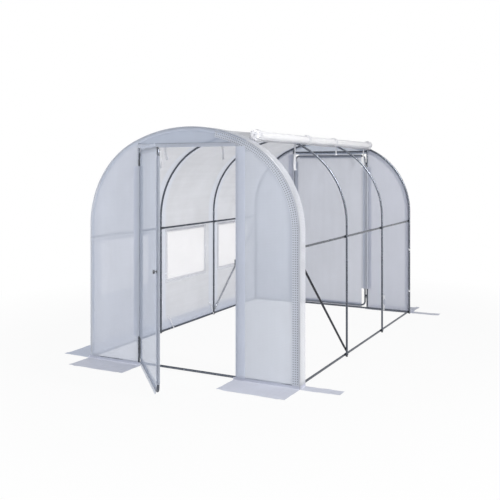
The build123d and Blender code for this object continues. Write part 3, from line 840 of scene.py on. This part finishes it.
def rolled_side():
    """The right side's film, rolled up along the crown, pinched by its ties and creased."""
    angle, radius, laid = spiral(0.003, ROLL - 0.001, GIRTH - COVER_STOP, 22)
    places = lines(roll_low.y, roll_high.y, 0.028)[:, None]
    pinch = sum(hump(places - tie, 0.03) for tie in TIE_YS)
    layer = angle / angle[-1]
    creases = noise(places * 2.2, angle * 1.9, 501) * 0.6 + noise(places * 6.0, angle * 4.5, 502) * 0.4
    r = radius * (1 - 0.10 * pinch) + 0.0018 * creases * layer
    meet = radians(270) - asin((ROLL_X - MIDDLE) / (CROWN_RADIUS + FILM_OUT + ROLL))
    turn = meet - angle[-1] + angle
    end_gap = np.minimum(places - roll_low.y, roll_high.y - places)
    outwards = np.sign(places - ROLL_Y) * np.exp(-end_gap / 0.03)
    stagger = outwards * (0.003 * noise(angle * 0.45, 3, 503) + 0.004 * (1 - layer))
    z = ROLL_Z + r * (1 - 0.06 * pinch) * np.sin(turn) - 0.0016 * (1 - np.clip(pinch, 0, 1))
    points = stack(ROLL_X + r * np.cos(turn), places + stagger, z)
    return sheet("rolled_side", points, (places, laid), "roll_film")


def bunched_end(name, y, sign, seed):
    """The film's edge at an end of the roll, bunched into a ruffle."""
    t, q = grid(np.linspace(0, 2 * pi, 121), np.linspace(0, 1, 12))
    wander = noise(np.cos(t) * 1.9 + 4, np.sin(t) * 1.9 + 4, seed)
    pleat = np.sin(t * 10 + 3 * wander)
    reach = 0.004 + (ROLL * 1.14 - 0.004) * q * (1 + 0.07 * pleat + 0.09 * wander)
    out = sign * (0.007 + 0.006 * np.sin(q * pi) + 0.006 * pleat * q**1.5 - 0.008 * q**3)
    points = stack(ROLL_X + reach * np.cos(t), y + out, ROLL_Z + reach * np.sin(t))
    flat = (t * ROLL * 0.8, q * ROLL * 1.1)
    sheet(name, points, flat, "roll_film")


bunched_end("roll_front_end", roll_low.y, -1, 505)
bunched_end("roll_back_end", roll_high.y, 1, 506)
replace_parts(rolled_side(), "rolled_side_film")
for number, tie_y in enumerate(TIE_YS, 1):
    width, puff = END_TIE if number in (1, len(TIE_YS)) else MIDDLE_TIE
    place = (ROLL_X, tie_y, ROLL_Z)
    tie = ring_tie(f"roll_tie_{number}", place, ROLL * 0.92, width, puff, 510 + number)
    if number == 1:
        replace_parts(tie, "roll_ties")


def hanging_ribbon(name, top, drop, width, facing, seed, flare=0.0, lean=0.0, body="greenhouse"):
    """A ribbon's loose end, hung from a point. facing is its width's angle, flare how much of its
    width is folded in at the top, and lean how far its foot hangs behind its face."""
    d, v = grid(np.linspace(0, 1, 26), np.linspace(-0.5, 0.5, 7))
    knot = hump(d - 0.32, 0.05) * (flare > 0)
    spread = width * (1 - flare * (1 - d) ** 0.8) * (1 - 0.5 * knot)
    folded = width * (1 - spread / width) * 0.35
    twist = facing + 0.7 * noise(d * 2.2, 0.5, seed) * np.sqrt(d)
    sway = (lean + 0.012 * noise(d * 2.6, 1.5, seed + 1)) * d
    off = sway + folded * np.cos(v * 9.4) + 0.002 * np.cos(v * 2.6) * (0.3 + d)
    x = top[0] + np.cos(twist) * v * spread - np.sin(twist) * off
    y = top[1] + np.sin(twist) * v * spread + np.cos(twist) * off
    points = stack(x, y, top[2] - d * drop)
    sheet(name, points, (v * width, d * drop), "ribbon", body=body)


TAIL_X = ROLL_X - 0.055
TAIL_Z = float(hoop_top(TAIL_X - MIDDLE)) - TUBE + 0.012
TAILS = (  # y, drop and width
    (TIE_YS[0] + 0.016, 0.13, 0.022),
    (HOOP_YS[1] + 0.012, 0.255, 0.034),
    (HOOP_YS[2] + 0.03, 0.10, 0.02),
    (TIE_YS[3] + 0.02, 0.20, 0.036),
)
for number, (tail_y, drop, width) in enumerate(TAILS, 1):
    hanging_ribbon(f"roll_tail_{number}", (TAIL_X, tail_y, TAIL_Z), drop, width,
                   radians(20 + 9 * number), 520 + number, flare=0.7)
for number, across in enumerate((-0.235, 0.315), 1):
    top = (MIDDLE + across, TUBE + 0.0045, HEADER)
    hanging_ribbon(f"header_ribbon_{number}", top, 0.13, 0.02, radians(2), 530 + number, lean=0.022)


def leg_tie(name, z, seed):
    """A ribbon round the back hoop's right leg."""
    t, v = grid(np.linspace(0, 2 * pi, 33), np.linspace(-0.5, 0.5, 5))
    r = TUBE + 0.0012 + 0.0012 * np.abs(v * 2) * (1 + np.sin(3 * t + seed))
    up = z + RIBBON_WIDTH * v + 0.003 * np.sin(t + seed)
    points = stack(RIGHT + r * np.cos(t), LENGTH + r * np.sin(t), up)
    sheet(name, points, (v * RIBBON_WIDTH, t * TUBE), "ribbon")


for number, height in enumerate((0.26, 0.735), 1):
    leg_tie(f"back_leg_tie_{number}", height, 550 + number)


def rail_tie(name, start, knot, out, wide, seed, width=RIBBON_WIDTH):
    """A ribbon from the film down to a rail, and round it. out is the way that it bows out, and wide
    the rail's own direction."""
    start, knot = np.array(start), np.array(knot)
    drop = np.linspace(0, 1, 14)[:, None]
    turn = np.linspace(radians(100), radians(440), 30)[:, None]
    ring = knot + (TUBE + 0.0016) * (np.cos(turn) * out + np.sin(turn) * UP)
    line = start + (knot - start) * drop
    line = line + np.sin(drop * pi) * 0.012 * out + (ring[0] - knot) * drop
    path = np.concatenate([line, ring[1:]])
    pinch = 1 - 0.35 * hump(np.arange(len(path)) - len(line), 5.0)
    v = np.linspace(-0.5, 0.5, 5)[:, None]
    curl = 0.0016 * np.cos(v * 6 + seed) * out
    points = path[:, None, :] + v * width * pinch[:, None, None] * wide + curl
    flat = ((v * width)[:, 0], distances(path)[:, None])
    sheet(name, points, flat, "ribbon")


SIDEWAYS, ALONG, UP = np.eye(3)
RAIL_X, _, RAIL_Z = centre("left_bottom_rails")
LEFT_TIE_TOP, BACK_TIE_TOP, BACK_TIE_X = 0.15, 0.185, MIDDLE + 0.70
RAIL_TIES = (  # the top's and the knot's y
    (HOOP_YS[1] + 0.11, HOOP_YS[1] + 0.19),
    (HOOP_YS[2] - 0.10, HOOP_YS[2] - 0.04),
)
for number, (top_y, foot_y) in enumerate(RAIL_TIES, 1):
    start, knot = (LEFT + 0.002, top_y, LEFT_TIE_TOP), (RAIL_X, foot_y, RAIL_Z)
    rail_tie(f"left_rail_tie_{number}", start, knot, SIDEWAYS, ALONG, 560 + number)
start, knot = (BACK_TIE_X, LENGTH - 0.003, BACK_TIE_TOP), (BACK_TIE_X, LENGTH, RAIL_Z)
rail_tie("back_rail_tie", start, knot, ALONG, SIDEWAYS, 565, 0.026)

# Door films

NOTCH_WIDTH, CORNER_CUT = 0.06, 0.1 / sqrt(2)
BELOW_LEAF, ABOVE_LEAF, PAST_LEAF = 0.018, 0.022, 0.012  # how far the films reach past their leaves

def leaf_at(end, a, v, n):
    """Points of a door's leaf: a from its pin, v up and n outwards of its tubes' plane."""
    turned = -radians(JOINTS[f"{end}_door_hinge"]["range_deg"][0])
    n = n - PIN_FORWARD
    u = HINGE_POST + TUBE + LEAF_START + a * cos(turned) - n * sin(turned)
    return at(end, u, v, PIN_FORWARD + a * sin(turned) + n * cos(turned))


def leaf_sleeve(end, kind, start, stop):
    """A sleeve over the tube along one side of a leaf, from start to stop along that side."""
    name = f"{end}_door_{kind}_sleeve"
    turn = np.linspace(pi / 2, -pi / 2, 9)
    arc = zip(LIFT * np.cos(turn), LIFT * np.sin(turn))
    # Places along the leaf towards its edge, and outwards
    section = np.array([(-0.03, LIFT), (-0.015, LIFT), *arc, (-0.011, -LIFT), (-0.022, -LIFT)])
    s, d = grid(lines(start, stop, 0.03), distances(section))
    edge = section[:, 0] - TUBE
    out = section[:, 1] * (1 + 0.02 * noise(s * 12, d * 30, len(name)))
    places = {
        "free": (LEAF_START + LEAF_WIDTH + edge, s),
        "hinge": (LEAF_START - edge, s),
        "top": (s, LEAF_TOP + edge),
        "bottom": (s, LEAF_BOTTOM - edge),
    }
    # The top and bottom sleeves are clearer and darker: the darker colour is painted shade
    look = "sleeve_film" if kind in ("free", "hinge") else "clear_sleeve"
    points = leaf_at(end, *places[kind], out)
    sheet(name, points, (d, s), look, body=f"{end}_door")


def door_film(end, seed):
    """A leaf's film, notched round its hinges and cut at its free corners."""
    a0, a1 = -0.0005, LEAF_START + LEAF_WIDTH + PAST_LEAF
    v0, v1 = LEAF_BOTTOM - BELOW_LEAF, LEAF_TOP + ABOVE_LEAF
    wide, tall = a1 - a0, v1 - v0
    rows = lines(v0, v1, through=(NOTCH_TOP, NOTCH_FOOT, v0 + CORNER_CUT, v1 - CORNER_CUT))
    columns = np.concatenate([lines(0, NOTCH_WIDTH), lines(NOTCH_WIDTH, wide)[1:]])
    by_hinge_line = cells_between(columns, 0, NOTCH_WIDTH)
    notch = ~cells_between(rows, NOTCH_TOP, NOTCH_FOOT)[:, None] & by_hinge_line
    c, v = np.meshgrid(columns, rows)
    corner = np.maximum(0, CORNER_CUT - np.minimum(v - v0, v1 - v))
    a = a0 + c - corner * rise(c - NOTCH_WIDTH, wide - NOTCH_WIDTH)
    edge = np.minimum.reduce([a - a0, a1 - a, v - v0, v1 - v])
    free = rise(edge - 0.03, 0.05)
    drape = tension_folds(v * 0.7, a, seed) * 0.004 + 0.002 * noise(a * 3, v * 2, seed)
    past = rise(np.maximum.reduce([a - (a1 - PAST_LEAF), v - LEAF_TOP, LEAF_BOTTOM - v]), 0.01)
    flap = past * (0.0055 + 0.0015 * noise(a * 9, v * 9, seed))
    points = leaf_at(end, a, v, FILM + flap + free * (drape - 0.004 * rise(edge, 0.2)))
    # The leaves' films are darker copies of the end film: painted shade
    piece = sheet(f"{end}_door_sheet", points, (a, v), f"{end}_door_film",
                  skip=notch, body=f"{end}_door")
    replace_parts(piece, f"{end}_door_film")
    leaf_sleeve(end, "free", LEAF_BOTTOM + CORNER_CUT, LEAF_TOP - CORNER_CUT)
    leaf_sleeve(end, "hinge", NOTCH_TOP, NOTCH_FOOT)
    for kind in ("top", "bottom"):
        leaf_sleeve(end, kind, a0 + NOTCH_WIDTH, a1 - PAST_LEAF - CORNER_CUT)


for number, end in enumerate(ENDS):
    door_film(end, 600 + number * 20)
corner_tie = leaf_at("front", LEAF_START + LEAF_WIDTH - TUBE, LEAF_TOP - 0.03, -TUBE - 0.004)
hanging_ribbon("door_ribbon", corner_tie, 0.13, RIBBON_WIDTH, radians(25), 570, body="front_door")

# Bolts and screws: profiles are (radius, height) from the face that they seat on

WASHER = [(0.0060, 0.0), (0.0062, 0.0002), (0.0062, 0.0010), (0.0060, 0.0012)]
NUT = [(0.0052, 0.0012), (0.0057, 0.0016), (0.0057, 0.0050), (0.0050, 0.0056)]
STUD = [(0.0029, 0.0056), (0.0029, 0.0084), (0.0023, 0.0090)]
DOME = [(0.0070, 0.0), (0.0070, 0.0008), (0.0062, 0.0022), (0.0044, 0.0032), (0.0020, 0.0037)]
SCREW = [(0.0036, 0.0), (0.0036, 0.0006), (0.0030, 0.0014), (0.0012, 0.0019)]
TAB, TAB_GAP = 0.002, 0.0003
SINGLE = TUBE + TAB_GAP + TAB  # inner face of one tab, from the hoop's centre line
DOUBLE = SINGLE + TAB_GAP + TAB
PURLIN_Z = centre("left_purlins")[2]
BRACE_FOOT_Z, BRACE_HEAD_Z, BRACE_IN = RAIL_Z + 0.042, PURLIN_Z - 0.070, 0.006
BRACKET_IN = 0.11  # from the leaf's top or bottom to a hinge bracket's middle
SCREW_DOWN = 0.011


def lathe(place, axis, profile, sides, flats=None):
    """Vertices and faces of a turned shape, or of one with flat sides."""
    axis = Vector(axis).normalized()
    one = axis.orthogonal().normalized()
    two = axis.cross(one)
    vertices, faces = [], []
    for radius, height in profile:
        for turn in (2 * pi * k / sides for k in range(sides)):
            reach = radius
            if flats:
                step = 2 * pi / flats
                reach = radius * cos(step / 2) / cos((turn % step) - step / 2)
            offset = (one * cos(turn) + two * sin(turn)) * reach
            vertices.append(tuple(Vector(place) + axis * height + offset))
    for ring in range(len(profile) - 1):
        for k in range(sides):
            a, b = ring * sides + k, ring * sides + (k + 1) % sides
            faces.append([a, b, b + sides, a + sides])
    corners = list(range(len(vertices)))
    return vertices, [*faces, corners[:sides][::-1], corners[-sides:]]


def bolt_parts(place, axis):
    """A washer and a six-sided nut with chamfered corners on the end of a bolt."""
    return [lathe(place, axis, *turned) for turned in ((WASHER, 18), (NUT, 24, 6), (STUD, 14))]


parts = []
for y in HOOP_YS:
    face = SINGLE if y in (HOOP_YS[0], LENGTH) else DOUBLE
    for z in (RAIL_Z, PURLIN_Z):
        parts += bolt_parts((LEFT + face, y, z), (1, 0, 0))
        parts += bolt_parts((RIGHT - face, y, z), (-1, 0, 0))
    parts += bolt_parts((MIDDLE, y, CROWN_CENTRE + CROWN_RADIUS - face), (0, 0, -1))
for y in HOOP_YS[1:-1]:
    parts += [lathe((RIGHT + TUBE, y, z), (1, 0, 0), DOME, 18) for z in (RAIL_Z, PURLIN_Z)]
for x, axis, foot_y, head_y in (
    (RIGHT - SINGLE, (-1, 0, 0), HOOP_YS[1], HOOP_YS[0] + BRACE_IN),
    (LEFT + SINGLE, (1, 0, 0), HOOP_YS[-2], LENGTH - BRACE_IN),
):
    parts += bolt_parts((x, foot_y, BRACE_FOOT_Z), axis) + bolt_parts((x, head_y, BRACE_HEAD_Z), axis)
steel_piece("frame_bolts", parts)

screws = []
for end in ENDS:
    outwards = at(end, 0, 0, 1) - at(end, 0, 0, 0)
    for height in (LEAF_BOTTOM + BRACKET_IN, LEAF_TOP - BRACKET_IN):
        place = at(end, HINGE_POST, height - SCREW_DOWN, TUBE + 0.0002)
        screws.append(lathe(place, outwards, SCREW, 14))
steel_piece("hinge_screws", screws)

# Stage: camera, floor, surroundings and lamps

camera = add_object("camera", bpy.data.cameras.new("camera"))
camera.location = (4.166, -4.676, 1.657)
camera.rotation_euler = (radians(90), 0, radians(25.61))
camera.data.sensor_width, camera.data.lens = 36, 49.38
camera.data.shift_x, camera.data.shift_y = -0.0803, -0.1622
camera.data.clip_end = 100
bpy.context.scene.camera = camera


def floor_material():
    """Pale floor that shows white to the camera and keeps the object's soft shadow."""
    nodes = new_material("floor")
    place = nodes.place()
    shade = nodes.mix(nodes.noise(place, 3.0, 3.0), (0.64, 0.64, 0.645, 1.0), (0.68, 0.68, 0.68, 1.0))
    matt = nodes.bsdf("Diffuse", Color=shade)
    white = nodes.first("Emission", {"Color": WHITE})
    middle = nodes.first("VectorMath", {0: place, 1: (-1.0, -1.5, 0.0)}, operation="ADD")
    away = nodes.add("VectorMath", {0: middle}, operation="LENGTH").outputs["Value"]
    share = nodes.ramp(away, 0.93, 1.0, 2.2, 4.2)
    return nodes.done(nodes.blend(nodes.math("MULTIPLY", nodes.seen(), share), matt, white))


REACH = 40.0
corners = [(-REACH, -REACH, 0), (REACH, -REACH, 0), (REACH, REACH, 0), (-REACH, REACH, 0)]
floor_mesh = bpy.data.meshes.new("floor")
floor_mesh.from_pydata(corners, [], [(0, 1, 2, 3)])
floor_mesh.materials.append(floor_material())
floor = add_object("floor", floor_mesh)
floor.location.z = -0.0004

nodes = Nodes(bpy.data.worlds.new("world"))
soft = nodes.first("Background", {"Color": (0.93, 0.96, 1.0, 1.0), "Strength": 0.34})
white = nodes.first("Background", {"Color": WHITE})
bpy.context.scene.world = nodes.done(nodes.blend(nodes.seen(), soft, white))


def area_light(name, place, aim, size, power, colour=WHITE[:3]):
    data = bpy.data.lights.new(name, "AREA")
    data.shape = "RECTANGLE"
    data.size, data.size_y = size
    data.energy, data.color = power, colour
    lamp = add_object(name, data)
    lamp.location = place
    lamp.rotation_euler = (Vector(aim) - Vector(place)).to_track_quat("-Z", "Y").to_euler()
    return lamp


area_light("overhead", (3.2, -1.9, 5.9), (1.0, 1.2, 0.9), (3.0, 3.0), 78.0, (1.0, 0.99, 0.98))
gleam = area_light("gleam", (5.0, -0.4, 5.2), (1.8, 1.3, 1.6), (1.0, 3.6), 640.0)
gleam.visible_diffuse = gleam.visible_transmission = False  # only adds highlights to steel and film
area_light("front", (-2.4, -6.2, 1.5), (0.7, 0.0, 0.8), (3.0, 2.4), 228.0, (0.97, 0.985, 1.0))
area_light("left", (-5.5, 1.2, 2.6), (0.0, 1.5, 1.0), (3.0, 3.0), 54.0)
area_light("right", (7.0, -1.0, 2.2), (1.6, 1.5, 1.0), (0.7, 4.0), 260.0, (1.0, 0.99, 0.97))

bpy.context.scene.view_settings.view_transform = "Standard"
